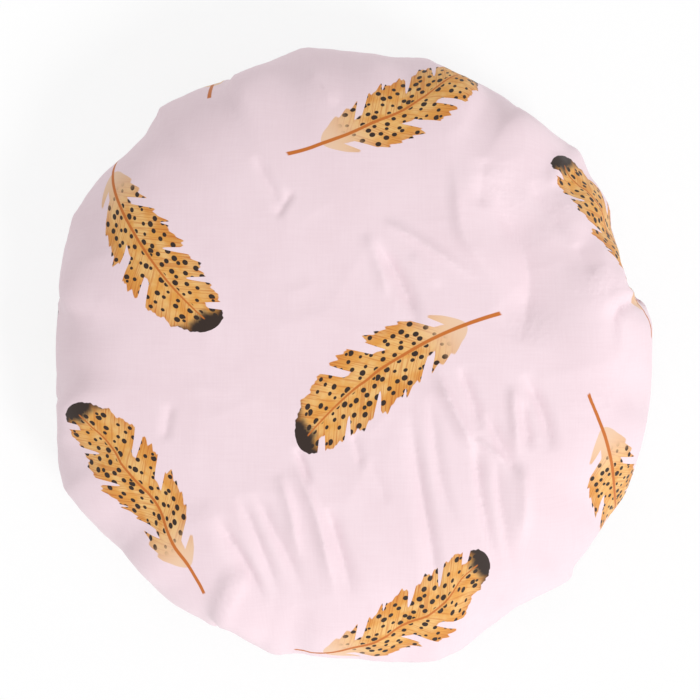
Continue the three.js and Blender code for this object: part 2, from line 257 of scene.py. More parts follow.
def smooth_line(points, per_span):
    """A curve through the points, with its first and last point repeated as guides."""
    p = np.array([points[0], *points, points[-1]], float)
    t = (np.arange(per_span) / per_span)[:, None]
    spans = []
    for before, start, end, after in zip(p, p[1:], p[2:], p[3:]):
        bend = 2 * before - 5 * start + 4 * end - after
        twist = -before + 3 * start - 3 * end + after
        spans.append(0.5 * (2 * start + (end - before) * t + bend * t**2 + twist * t**3))
    return np.concatenate([*spans, p[-1:]])


def running_length(points):
    return np.concatenate([[0], np.cumsum(np.linalg.norm(np.diff(points, axis=0), axis=1))])


class Profile:
    """The line from the crown's top, over the widest place, to the sewn edge, by length along the cloth."""

    def __init__(self):
        crown = bezier(
            [
                (0, CAP_HEIGHT),
                (CROWN_FLAT, CAP_HEIGHT),
                (OUTLINE_RADIUS, EDGE_HEIGHT + EDGE_ROLL_UP),
                (OUTLINE_RADIUS, EDGE_HEIGHT),
            ],
            PROFILE_STEPS,
        )
        belly = bezier(
            [
                (OUTLINE_RADIUS, EDGE_HEIGHT),
                (OUTLINE_RADIUS, EDGE_HEIGHT - EDGE_ROLL_DOWN),
                (NECK_RADIUS, NECK_TOP + NECK_RISE),
                (NECK_RADIUS, NECK_TOP),
            ],
            PROFILE_STEPS,
        )
        self.points = np.concatenate([crown, belly[1:], [(NECK_RADIUS, NECK_BOTTOM)]])
        self.lengths = running_length(self.points)
        self.total = self.lengths[-1]
        self.to_edge = self.lengths[len(crown) - 1]
        self.tangents = np.gradient(self.points, self.lengths, axis=0)

    def at(self, length):
        """Radius, height, and the outward direction in radius and height."""
        radius, height = (np.interp(length, self.lengths, column) for column in self.points.T)
        run, rise = (np.interp(length, self.lengths, column) for column in self.tangents.T)
        size = np.hypot(run, rise)
        return radius, height, -rise / size, run / size


def outline_offset(angle):
    degrees, offsets = np.array(OUTLINE_CORNERS, float).T
    return np.interp(np.degrees(angle) % 360, degrees, offsets * MM, period=360)


def pleat(angle):
    """The pleats along the bound edge, from 1 to -1, unevenly wide and deep, with a ridge at angle 0."""
    warp = sum(shift * np.sin(waves * angle) for waves, shift in PLEAT_WARPS)
    depth = PLEAT_MEAN + PLEAT_SWING * np.cos(PLEAT_SWINGS * angle)
    return depth * np.cos(PLEATS * (angle + warp))


class Cut:
    """The round cut of cloth as a disc of even triangles: ring i has 6 i points."""

    def __init__(self, rings):
        counts = [1] + [6 * i for i in range(1, rings + 1)]
        self.first = np.concatenate([[0], np.cumsum(counts)])
        self.ring = np.repeat(np.arange(rings + 1), counts)
        self.angle = np.concatenate([np.arange(count) / count * 2 * math.pi for count in counts])
        self.share = self.ring / rings
        self.faces = [face for i in range(rings) for side in range(6) for face in self.side_faces(i, side)]
        corners = np.array(self.faces)
        pairs = np.concatenate([corners[:, [0, 1]], corners[:, [1, 2]], corners[:, [2, 0]]])
        self.edges = np.unique(np.sort(pairs, axis=1), axis=0)

    def point(self, ring, step):
        return 0 if ring == 0 else int(self.first[ring] + step % (6 * ring))

    def side_faces(self, ring, side):
        for step in range(ring + 1):
            inner = self.point(ring, side * ring + step)
            outer = self.point(ring + 1, side * (ring + 1) + step)
            next_outer = self.point(ring + 1, side * (ring + 1) + step + 1)
            yield inner, outer, next_outer
            if step < ring:
                yield inner, next_outer, self.point(ring, side * ring + step + 1)


def relax(cut, flat, start, home, held):
    """Lets the cloth move from start until its edges have about the lengths of the flat cut, near home."""
    count = len(start)
    one, other = cut.edges.T
    rest = np.linalg.norm(flat[one] - flat[other], axis=1)
    neighbours = np.bincount(cut.edges.ravel(), minlength=count)[:, None]

    def gathered(values):
        """Each point's sum of what its edges pull it towards."""
        columns = [np.bincount(one, v, count) - np.bincount(other, v, count) for v in values.T]
        return np.stack(columns, axis=1)

    def bend(points):
        return gathered(points[other] - points[one]) / neighbours

    points, speed = start.copy(), np.zeros_like(start)
    free = np.where(held, 0.0, 1.0)[:, None]
    for _ in range(STEPS):
        apart = points[other] - points[one]
        span = np.linalg.norm(apart, axis=1)
        stiffness = np.where(span > rest, 1.0, SQUEEZE)
        force = gathered(apart * (stiffness * (1 - rest / span))[:, None])
        force -= BENDING * bend(bend(points))
        force += HOLD * (home - points)
        speed = (speed + TIME_STEP * force) * (1 - DAMPING) * free
        points = points + TIME_STEP * speed
    return points


def puffed_cloth(profile):
    """The cut with its relaxed and its flat points."""
    cut = Cut(CLOTH_RINGS)
    length = cut.share * profile.total
    radius, height, out, up = profile.at(length)
    on_belly = (radius - NECK_RADIUS) / (OUTLINE_RADIUS - NECK_RADIUS)
    reach = np.where(length < profile.to_edge, (radius / OUTLINE_RADIUS) ** 2, on_belly.clip(0, 1))
    to_hem = ((length - profile.to_edge) / (profile.total - profile.to_edge)).clip(0, 1)
    lift = PLEAT_DEPTH * pleat(cut.angle) * to_hem
    around = np.stack([np.cos(cut.angle), np.sin(cut.angle)], axis=1)

    def placed(lift):
        distance = radius + reach * outline_offset(cut.angle) + out * lift
        place = RING_CENTRE * (1 - reach)[:, None] + distance[:, None] * around
        return np.column_stack([place, height + up * lift])

    rough = np.random.default_rng(ROUGH_SEED).normal(0, ROUGHNESS, len(length))
    held = cut.ring >= CLOTH_RINGS - 1
    flat = length[:, None] * around
    points = relax(cut, flat, placed(lift + np.where(held, 0, rough)), placed(lift), held)
    return cut, points, flat


def add_object(name, mesh):
    piece = bpy.data.objects.new(name, mesh)
    bpy.context.scene.collection.objects.link(piece)
    return piece


def fine_mesh(cut, points, flat, cut_radius):
    """The cut's mesh at those points, subdivided once, with the flat cut as its map."""
    mesh = bpy.data.meshes.new("cut")
    mesh.from_pydata(points.tolist(), [], cut.faces)
    corners = np.empty(len(mesh.loops), int)
    mesh.loops.foreach_get("vertex_index", corners)
    cut_map = mesh.uv_layers.new(name="OFBake")
    cut_map.data.foreach_set("uv", (flat[corners] / (2 * cut_radius) + 0.5).ravel())
    holder = add_object("cut", mesh)
    subdivide = holder.modifiers.new("subdivide", "SUBSURF")
    subdivide.levels = 1
    fine = bpy.data.meshes.new_from_object(holder.evaluated_get(bpy.context.evaluated_depsgraph_get()))
    bpy.data.objects.remove(holder)
    bpy.data.meshes.remove(mesh)
    fine.shade_smooth()
    return fine


def mesh_points(mesh):
    points = np.empty(3 * len(mesh.vertices))
    mesh.vertices.foreach_get("co", points)
    return points.reshape(-1, 3)


def mesh_normals(mesh):
    normals = np.empty(3 * len(mesh.vertices))
    mesh.vertex_normals.foreach_get("vector", normals)
    return normals.reshape(-1, 3)


def move_points(mesh, points):
    mesh.vertices.foreach_set("co", points.ravel())
    mesh.update()


def seen_places(points):
    """Where the camera sees each point, at the height of the widest place."""
    nearness = (CAMERA_HEIGHT - EDGE_HEIGHT) / (CAMERA_HEIGHT - points[:, 2])
    return points[:, :2] * nearness[:, None]


def fit_outline(points):
    """Draws the cloth in or out, most at its widest place, until its outline is the photograph's."""
    angle = np.arctan2(points[:, 1], points[:, 0]) % (2 * math.pi)
    seen = np.linalg.norm(seen_places(points), axis=1)
    bins = (angle / (2 * math.pi) * OUTLINE_BINS).astype(int) % OUTLINE_BINS
    farthest = np.zeros(OUTLINE_BINS)
    np.maximum.at(farthest, bins, seen)
    middles = (np.arange(OUTLINE_BINS) + 0.5) / OUTLINE_BINS * 2 * math.pi
    wanted = OUTLINE_RADIUS + outline_offset(middles)
    ratio = np.interp(angle, middles, wanted / farthest, period=2 * math.pi)
    radius = np.hypot(points[:, 0], points[:, 1])
    start = NECK_RADIUS + FIT_FROM * (OUTLINE_RADIUS - NECK_RADIUS)
    share = smoothstep(start, FIT_FULL * OUTLINE_RADIUS, radius)
    scale = 1 + (ratio - 1) * share
    return points * np.column_stack([scale, scale, np.ones(len(points))])


def from_photo(pixels):
    return (np.array(pixels) - PHOTO_MIDDLE) * (PIXEL, -PIXEL)


def crease_ridge(place, line, on_right, on_left, roundness):
    """A ridge of height 1 along a line, as wide as given on its right and its left."""
    reach = max(on_right, on_left)
    near = ((place > line.min(axis=0) - reach) & (place < line.max(axis=0) + reach)).all(axis=1)
    away = place[near, None] - line
    distances = np.linalg.norm(away, axis=2)
    nearest = distances.argmin(axis=1)
    each = np.arange(len(nearest))
    way, away = np.gradient(line, axis=0)[nearest], away[each, nearest]
    left_of = way[:, 0] * away[:, 1] > way[:, 1] * away[:, 0]
    distance = np.minimum(distances[each, nearest] / np.where(left_of, on_left, on_right), 1)
    along = nearest / (len(line) - 1)
    ridge = np.zeros(len(place))
    ridge[near] = (1 - distance) ** 2 * (1 + 2 * roundness * distance)
    ridge[near] *= smoothstep(0, CREASE_END, np.minimum(along, 1 - along))
    return ridge


def crease_height(place):
    """How far the photograph's creases and the faint ones raise the cloth at those places."""
    height = np.zeros(len(place))
    for lines, roundness in ((CREASES, CREASE_ROUNDNESS), (SWELLS, SWELL_ROUNDNESS)):
        for pixels, rise, on_right, on_left in lines:
            line = smooth_line(from_photo(pixels), CREASE_STEPS)
            height += rise * MM * crease_ridge(place, line, on_right * MM, on_left * MM, roundness)
    draw = np.random.default_rng(FAINT_SEED)
    for _ in range(FAINT_CREASES):
        distance = FAINT_REACH * math.sqrt(draw.uniform())
        bearing, heading = draw.uniform(0, 2 * math.pi, 2)
        start = distance * np.array([math.cos(bearing), math.sin(bearing)])
        run = draw.uniform(*FAINT_LENGTH) * np.array([math.cos(heading), math.sin(heading)])
        line = start + np.linspace(0, 1, 3 * CREASE_STEPS)[:, None] * run
        on_right, on_left = draw.uniform(*FAINT_WIDTH, 2)
        height += draw.uniform(*FAINT_RISE) * crease_ridge(place, line, on_right, on_left, CREASE_ROUNDNESS)
    return height


def press_creases(mesh):
    """Raises and lowers the crown along the photograph's creases."""
    points, normals = mesh_points(mesh), mesh_normals(mesh)
    on_top = smoothstep(0, CREASED_TILT, normals[:, 2])
    rise = crease_height(seen_places(points)) * on_top
    move_points(mesh, points + normals * rise[:, None])


def refine_crown(mesh):
    """Cuts each edge of the crown's faces in two."""
    shape = bmesh.new()
    shape.from_mesh(mesh)
    edges = [edge for edge in shape.edges if all(end.co.z > CREASED_ABOVE for end in edge.verts)]
    bmesh.ops.subdivide_edges(
        shape, edges=edges, cuts=1, smooth=1, smooth_falloff="LINEAR", use_grid_fill=True
    )
    shape.to_mesh(mesh)
    shape.free()
    mesh.shade_smooth()


def make_shell(profile):
    """The relaxed cloth, fitted to the outline, twice for a closer fit, and creased."""
    mesh = fine_mesh(*puffed_cloth(profile), profile.total)
    mesh.name = "printed_shell"
    move_points(mesh, fit_outline(fit_outline(mesh_points(mesh))))
    refine_crown(mesh)
    press_creases(mesh)
    return add_object("printed_shell", mesh)


def spread_ways(count):
    """Directions spread evenly over a sphere."""
    height = 1 - (2 * np.arange(count) + 1) / count
    turn = np.arange(count) * math.pi * (3 - math.sqrt(5))
    level = np.sqrt(1 - height**2)
    return [Vector(way) for way in zip(level * np.cos(turn), level * np.sin(turn), height)]


def closed_walls(points, faces):
    """The cloth with a lid over its opening, to test what lies outside."""
    turn = np.arange(LID_CORNERS) / LID_CORNERS * 2 * math.pi
    lid = np.stack([np.cos(turn), np.sin(turn), 0 * turn], axis=1) * (NECK_RADIUS + PLEAT_DEPTH)
    lid += (*RING_CENTRE, NECK_BOTTOM + LID_LIFT)
    lid_face = tuple(range(len(points), len(points) + LID_CORNERS))
    return BVHTree.FromPolygons([*points.tolist(), *lid.tolist()], [*faces, lid_face])


def grown(mesh, chosen, rings):
    """The chosen points and their neighbours, so many rings out."""
    ends = np.array([edge.vertices[:] for edge in mesh.edges])
    ends = np.concatenate([ends, ends[:, ::-1]])
    chosen = chosen.copy()
    for _ in range(rings):
        chosen[ends[chosen[ends[:, 0]], 1]] = True
    return chosen


def make_lining(shell):
    """The film under the cloth: a little inside it, closer at the hem and tight in pinched folds."""
    mesh = shell.data.copy()
    mesh.name = "film_lining"
    points, normals = mesh_points(mesh), mesh_normals(mesh)
    out = np.hypot(points[:, 0], points[:, 1]) - NECK_RADIUS
    near_hem = 1 - smoothstep(*HEM_FADE_OUT, out)
    near_hem *= 1 - smoothstep(NECK_TOP, NECK_TOP + HEM_FADE_UP, points[:, 2])
    gap = LINING_GAP + (LINING_GAP_AT_HEM - LINING_GAP) * near_hem
    walls = closed_walls(points, [face.vertices[:] for face in mesh.polygons])
    ways = spread_ways(LOOK_WAYS)

    def outside(place):
        return any(walls.ray_cast(place, way)[0] is None for way in ways)

    pinched = np.zeros(len(points), bool)
    for i, (point, normal) in enumerate(zip(points, normals)):
        point, inward = Vector(point), -Vector(normal)
        _, _, _, room = walls.ray_cast(point + inward * WALL_SKIP, inward, FOLD_REACH)
        if room is not None:
            gap[i] = min(gap[i], FOLD_SHARE * room)
        pinched[i] = point.z < LOOKED_BELOW and outside(point + inward * gap[i])
    beside = grown(mesh, pinched, PINCH_RINGS)
    gap[beside] = np.minimum(gap[beside], PINCHED_GAP)
    gap[pinched] = -PINCHED_GAP
    move_points(mesh, points - normals * gap[:, None])
    return add_object("film_lining", mesh)


def strip_object(name, grid, around=False):
    """A piece whose points lie in rows. Rows that close around are capped at both ends."""
    rows, columns = grid.shape[:2]
    spans = columns if around else columns - 1

    def point(row, column):
        return row * columns + column % columns

    faces = [
        (point(i, j), point(i, j + 1), point(i + 1, j + 1), point(i + 1, j))
        for i in range(rows - 1)
        for j in range(spans)
    ]
    if around:
        faces.append(tuple(reversed(range(columns))))
        faces.append(tuple(range((rows - 1) * columns, rows * columns)))
    mesh = bpy.data.meshes.new(name)
    mesh.from_pydata(grid.reshape(-1, 3).tolist(), [], faces)
    mesh.shade_smooth()
    add_weave_map(mesh, grid, len(faces) - 2 if around else len(faces))
    return add_object(name, mesh)


def add_weave_map(mesh, grid, side_faces):
    """A map in metres along the rows and across them."""
    rows, columns = grid.shape[:2]
    along = running_length(grid[:, columns // 2])
    across = running_length(np.concatenate([grid[0], grid[0][:1]]))
    weave = mesh.uv_layers.new(name="weave")
    for face in range(side_faces):
        i, j = divmod(face, side_faces // (rows - 1))
        places = [(i, j), (i, j + 1), (i + 1, j + 1), (i + 1, j)]
        for corner, (row, column) in zip(mesh.polygons[face].loop_indices, places):
            weave.data[corner].uv = along[row], across[column]


def hem_place(angle, out, height):
    """The point at that angle and height, so far out from the pleated hem."""
    fuller = smoothstep(TAPE_FULLER_FROM, NECK_BOTTOM, height)
    fullness = TAPE_LOW_FULLNESS + (1 - TAPE_LOW_FULLNESS) * fuller
    radius = NECK_RADIUS + PLEAT_DEPTH * pleat(angle) * fullness + out
    x = RING_CENTRE[0] + radius * np.cos(angle)
    y = RING_CENTRE[1] + radius * np.sin(angle)
    return np.stack(np.broadcast_arrays(x, y, height), axis=-1)


def make_tape():
    """The tape round the edge, whose end laps over its own start, and the width and length of its cut."""
    section = smooth_line(np.array(TAPE_SECTION) * MM, TAPE_SECTION_STEPS)
    tangents = np.gradient(section, axis=0)
    inward = np.stack([tangents[:, 1], -tangents[:, 0]], axis=1) / np.linalg.norm(tangents, axis=1)[:, None]
    lap_angle = TAPE_LAP / NECK_RADIUS
    angle = np.linspace(0, 2 * math.pi + lap_angle, TAPE_STEPS * PLEATS)[:, None]
    under = 1 - smoothstep(lap_angle, TAPE_LAP_EASED * lap_angle, angle)
    low = 1 - smoothstep(PUCKERED_BELOW, NECK_BOTTOM, section[:, 1])
    phase = PUCKERS * PLEATS * angle + PUCKER_DRIFT * np.sin(PUCKER_DRIFTS * angle)
    sunk = TAPE_LAP_SINK * TAPE_THICKNESS * under + PUCKER_DEPTH * low * np.sin(phase)
    out = section[:, 0] + sunk * inward[:, 0]
    height = np.maximum(section[:, 1] + sunk * inward[:, 1], TAPE_THICKNESS / 2)
    grid = hem_place(angle, out, height)
    cut = (running_length(grid[0])[-1], running_length(grid[:, -1])[-1])
    piece = strip_object("edge_tape", grid)
    solid = piece.modifiers.new("thickness", "SOLIDIFY")
    solid.thickness = TAPE_THICKNESS
    solid.offset = 0
    return piece, cut


def thread_rings(path, up):
    """Rings of points round a thread along that path."""
    tangent = np.gradient(path, axis=0)
    tangent /= np.linalg.norm(tangent, axis=1)[:, None]
    side = np.cross(tangent, up)
    side /= np.linalg.norm(side, axis=1)[:, None]
    top = np.cross(side, tangent)
    turn = np.arange(THREAD_SIDES) / THREAD_SIDES * 2 * math.pi
    ring = np.cos(turn)[:, None] * side[:, None] + np.sin(turn)[:, None] * top[:, None]
    return path[:, None] + THREAD_RADIUS * ring


def joined(name, pieces):
    """One piece of several objects' meshes."""
    with bpy.context.temp_override(active_object=pieces[0], selected_editable_objects=pieces):
        bpy.ops.object.join()
    pieces[0].name = pieces[0].data.name = name
    return pieces[0]


def stitch_row(name, path, up, outward):
    """Separate stitches along a path: each rises from the cloth, runs along it and dives in again."""
    length = running_length(path)
    count = max(1, round(length[-1] / (STITCH_LENGTH + STITCH_GAP)))
    pitch = length[-1] / count
    share = np.linspace(0, 1, STITCH_STEPS)
    lift = 2 * THREAD_RADIUS * (np.sin(math.pi * share) ** 0.5 - STITCH_SINK)
    stitches = []
    for i in range(count):
        at = (i + 0.5) * pitch + (share - 0.5) * (pitch - STITCH_GAP)
        run = np.stack([np.interp(at, length, column) for column in path.T], axis=1)
        away = np.stack([np.interp(at, length, column) for column in outward.T], axis=1)
        run += away * lift[:, None]
        stitches.append(strip_object(name, thread_rings(run, up), around=True))
    return joined(name, stitches)


def seam_row(name, side):
    """The row of stitches along the tape's outer side (1) or its inner side (-1)."""
    face = TAPE_SECTION[-1][0] if side > 0 else TAPE_SECTION[0][0]
    angle = np.linspace(0, 2 * math.pi, SEAM_STEPS)
    path = hem_place(angle, face * MM + side * TAPE_THICKNESS / 2, SEAM_HEIGHT)
    outward = side * np.stack([np.cos(angle), np.sin(angle), 0 * angle], axis=1)
    return stitch_row(name, path, (0, 0, 1), outward)


def make_join_stitch():
    """The short upright row that closes the tape's lap, on the ridge at angle 0."""
    section = smooth_line(np.array(TAPE_SECTION) * MM, 2 * TAPE_SECTION_STEPS)
    outside = section[len(section) // 2 :]
    low, high = JOIN_HEIGHTS
    row = outside[(outside[:, 1] > low) & (outside[:, 1] < high)]
    path = hem_place(0.0, row[:, 0] + TAPE_THICKNESS / 2, row[:, 1])
    outward = np.tile([1.0, 0, 0], (len(path), 1))
    return stitch_row("tape_join_stitch", path, (0, 1, 0), outward)


def elastic_section():
    """The ribbed section, as distance out from the band's inner face and height, once around."""
    height = np.linspace(0, 1, RIB_STEPS * ELASTIC_RIBS + 1)
    rib = RIB_DEPTH * np.abs(np.sin(math.pi * ELASTIC_RIBS * height))
    inner = np.stack([RIB_DEPTH - rib, ELASTIC_BOTTOM + height * ELASTIC_WIDTH], axis=1)
    outer = np.stack([ELASTIC_THICKNESS - RIB_DEPTH + rib, inner[:, 1]], axis=1)
    return np.concatenate([inner[::-1], outer])


def make_elastic():
    """The ring, whose end climbs over its own start."""
    lap_angle = ELASTIC_LAP / ELASTIC_INSIDE
    angle = np.linspace(0, 2 * math.pi + lap_angle, ELASTIC_STEPS)[:, None]
    climb = LAP_STEP * smoothstep(2 * math.pi - LAP_RAMP / ELASTIC_INSIDE, 2 * math.pi, angle)
    section = elastic_section()
    radius = ELASTIC_INSIDE + climb + section[:, 0]
    x = RING_CENTRE[0] + radius * np.cos(angle)
    y = RING_CENTRE[1] + radius * np.sin(angle)
    grid = np.stack(np.broadcast_arrays(x, y, section[:, 1]), axis=-1)
    return strip_object("ribbed_elastic", grid, around=True)


def make_lap_stitch():
    """The zigzag over the elastic's lap."""
    turns = np.arange(2 * LAP_ZIGS + 1)
    lap_angle = ELASTIC_LAP / ELASTIC_INSIDE
    angle = lap_angle * np.linspace(*LAP_ZIG_RANGE, len(turns))
    low, high = LAP_ZIG_HEIGHTS
    height = ELASTIC_BOTTOM + ELASTIC_WIDTH * np.where(turns % 2, high, low)
    radius = ELASTIC_INSIDE + LAP_STEP + ELASTIC_THICKNESS + THREAD_RADIUS
    x = RING_CENTRE[0] + radius * np.cos(angle)
    y = RING_CENTRE[1] + radius * np.sin(angle)
    path = smooth_line(np.stack([x, y, height], axis=1), LAP_ZIG_STEPS)
    return strip_object("elastic_zigzag", thread_rings(path, (1, 0, 0)), around=True)


def srgb(red, green, blue):
    """A colour as a screen writes it, from 0 to 255, as the shader's linear colour."""
    shares = [value / 255 for value in (red, green, blue)]
    linear = [c / 12.92 if c <= 0.04045 else ((c + 0.055) / 1.055) ** 2.4 for c in shares]
    return (*linear, 1)


class Field:
    """A number at each point of a surface, as a shader node gives it, with plain arithmetic."""

    def __init__(self, graph, socket):
        self.graph = graph
        self.socket = socket

    def math(self, operation, *others):
        node = self.graph.node("ShaderNodeMath", operation=operation)
        for socket, value in zip(node.inputs, (self, *others)):
            self.graph.feed(socket, value)
        return Field(self.graph, node.outputs["Value"])

    def __add__(self, other):
        return self.math("ADD", other)

    def __sub__(self, other):
        return self.math("SUBTRACT", other)

    def __rsub__(self, other):
        return self.math("MULTIPLY_ADD", -1, other)

    def __mul__(self, other):
        return self.math("MULTIPLY", other)

    def __truediv__(self, other):
        return self.math("DIVIDE", other)

    def __pow__(self, other):
        return self.math("POWER", other)

    def __abs__(self):
        return self.math("ABSOLUTE")

    def __mod__(self, other):
        return self.math("FLOORED_MODULO", other)

    def floor(self):
        return self.math("FLOOR")

    def sin(self):
        return self.math("SINE")

    def cos(self):
        return self.math("COSINE")

    def wave(self, pitch):
        """From -1 to 1 and back in each pitch."""
        return (self * (2 * math.pi / pitch)).sin()

    def clamped(self, low, high):
        return self.math("MAXIMUM", low).math("MINIMUM", high)

    def rise(self, low, high):
        """0 before low, 1 after high and smooth between them; it falls where low is the greater."""
        node = self.graph.node("ShaderNodeMapRange", interpolation_type="SMOOTHSTEP")
        for name, value in (("Value", self), ("From Min", low), ("From Max", high)):
            self.graph.feed(node.inputs[name], value)
        return Field(self.graph, node.outputs["Result"])


class Graph:
    """A node tree, whose nodes are made by plain expressions."""

    def __init__(self, tree):
        self.tree = tree

    def node(self, kind, **settings):
        node = self.tree.nodes.new(kind)
        for key, value in settings.items():
            setattr(node, key, value)
        return node

    def feed(self, socket, value):
        if isinstance(value, Field):
            self.tree.links.new(value.socket, socket)
        elif isinstance(value, bpy.types.NodeSocket):
            self.tree.links.new(value, socket)
        else:
            socket.default_value = value

    def map_place(self, name):
        """The two coordinates of a map, in its own units."""
        place = self.node("ShaderNodeUVMap", uv_map=name)
        apart = self.node("ShaderNodeSeparateXYZ")
        self.feed(apart.inputs[0], place.outputs["UV"])
        return Field(self, apart.outputs["X"]), Field(self, apart.outputs["Y"])

    def vector(self, x, y):
        node = self.node("ShaderNodeCombineXYZ")
        self.feed(node.inputs["X"], x)
        self.feed(node.inputs["Y"], y)
        return node.outputs["Vector"]

    def noise(self, x, y, detail, roughness=0.5):
        node = self.node("ShaderNodeTexNoise", noise_dimensions="2D")
        self.feed(node.inputs["Vector"], self.vector(x, y))
        node.inputs["Scale"].default_value = 1
        node.inputs["Detail"].default_value = detail
        node.inputs["Roughness"].default_value = roughness
        return Field(self, node.outputs["Fac"])

    def cells(self, x, y):
        """The distance to the middle of the nearest cell, and a number for that cell."""
        node = self.node("ShaderNodeTexVoronoi", voronoi_dimensions="2D")
        self.feed(node.inputs["Vector"], self.vector(x, y))
        node.inputs["Scale"].default_value = 1
        node.inputs["Randomness"].default_value = CELL_RANDOMNESS
        apart = self.node("ShaderNodeSeparateColor")
        self.feed(apart.inputs[0], node.outputs["Color"])
        return Field(self, node.outputs["Distance"]), Field(self, apart.outputs["Red"])

    def mix(self, first, second, factor):
        """A mix of two colours, whose sockets come after those for numbers and vectors."""
        node = self.node("ShaderNodeMix", data_type="RGBA")
        self.feed(node.inputs[0], factor)
        self.feed(node.inputs[6], first)
        self.feed(node.inputs[7], second)
        return node.outputs[2]

    def bump(self, height, distance):
        """The normal of a surface that height, from 0 to 1, raises by up to that distance."""
        node = self.node("ShaderNodeBump")
        node.inputs["Distance"].default_value = distance
        self.feed(node.inputs["Height"], height)
        return node.outputs["Normal"]

    def white_to_the_eye(self, share):
        """That share where the camera looks, also by way of a mirror or glass, and 0 for the light."""
        path = self.node("ShaderNodeLightPath")
        kinds = ("Camera", "Glossy", "Transmission")
        plain, mirrored, through = (Field(self, path.outputs[f"Is {kind} Ray"]) for kind in kinds)
        return plain.math("MAXIMUM", mirrored).math("MAXIMUM", through) * share

    def mix_shaders(self, first, second, factor):
        node = self.node("ShaderNodeMixShader")
        self.feed(node.inputs[0], factor)
        self.feed(node.inputs[1], first)
        self.feed(node.inputs[2], second)
        return node.outputs[0]


class Finish(Graph):
    """A material: its constants go straight onto its shader's sockets."""

    def __init__(self, name, **constants):
        self.material = bpy.data.materials.new(name)
        self.material.use_nodes = True
        super().__init__(self.material.node_tree)
        self.shader = self.tree.nodes["Principled BSDF"]
        for socket, value in constants.items():
            self.shader.inputs[socket.replace("_", " ")].default_value = value

    def made(self, colour, normal):
        self.feed(self.shader.inputs["Base Color"], colour)
        self.feed(self.shader.inputs["Normal"], normal)
        return self.material


# The print: feathers tossed over a pale ground, in millimetres of the flat cut
PRINT_PITCH = (118, 124)
PRINT_START = (40, 192)
FEATHER_LENGTH = 112
FEATHER_HALF_WIDTH = 16.5
FEATHER_BEND = 9
FEATHER_TURN = math.radians(33)
QUILL_SHARE = 0.15
BASE_POWER = 0.55  # how the vane widens from its base
TIP_POWER = 0.42  # how it narrows to its tip
WIDEST = 1.94  # what brings the product of the two to about 1 at its widest
BARB_SLOPE = 0.9
RAGGED_PITCH = 5
SPLIT_PITCH = 9
SPLIT_DEPTH = 0.55
INK_EDGE = 0.3
WASH_SIZE = (14, 9)
STREAK_SIZE = (0.9, 12)
SPECKLE_CELL = (5.0, 4.0)
SPECKLE_LEAST = 0.16  # radius of the smallest, in cells
SPECKLE_SPREAD = 0.16  # how much larger the largest is
SPECKLE_EDGE = 0.03
CELL_RANDOMNESS = 0.75
SHAFT_HALF_WIDTH = 1.0
SHAFT_TAPER = 0.7
SHAFT_EDGE = 0.2
WEAVE_PITCH = 0.7
SLUB_SIZE = (0.9, 16)
MOTTLE_SIZE = 30
CRUMPLE_SIZE = 18
FABRIC_RELIEF = 0.2 * MM

GROUND = srgb(239, 217, 224)
GROUND_SHADE = srgb(235, 212, 219)
GOLD = srgb(224, 158, 72)
PALE_GOLD = srgb(234, 186, 116)
RUST = srgb(196, 108, 36)
PEACH = srgb(233, 196, 165)
DARK = srgb(38, 20, 8)

# The other materials: two shades of each, and its pattern
FILM_SHADES = (srgb(246, 240, 242), srgb(238, 226, 231))
FILM_CRINKLES = 70  # across the cut
FILM_RELIEF = 0.6 * MM
TAPE_SHADES = (srgb(236, 208, 217), srgb(226, 194, 204))
TAPE_WEAVE = 0.7 * MM
TAPE_MOTTLE = 6 * MM
TAPE_RELIEF = 0.08 * MM
THREAD_SHADES = (srgb(228, 192, 203), srgb(206, 164, 178))
PLY_PITCH = 0.8 * MM
PLY_SLANT = 0.8
THREAD_RELIEF = 0.05 * MM
ELASTIC_SHADES = (srgb(245, 242, 238), srgb(226, 220, 214))
KNIT_PITCH = (0.9 * MM, 0.86 * MM)
FUZZ_SIZE = 1.5 * MM
ELASTIC_RELIEF = 0.12 * MM


def feather_place(x, y):
    """Along and across the nearest feather, in millimetres, with its bend taken out."""
    column = (x / PRINT_PITCH[0]).floor()
    half_drop = y / PRINT_PITCH[1] + (column % 2) * 0.5
    row = half_drop.floor()
    local_x = (x / PRINT_PITCH[0] - column - 0.5) * PRINT_PITCH[0]
    local_y = (half_drop - row - 0.5) * PRINT_PITCH[1]
    turn = ((column + row * 2) % 4) * (math.pi / 2) + FEATHER_TURN
    along = local_x * turn.cos() + local_y * turn.sin()
    across = local_y * turn.cos() - local_x * turn.sin()
    bow = (along / FEATHER_LENGTH) ** 2 * 4 - 0.35
    return along, across - bow * FEATHER_BEND


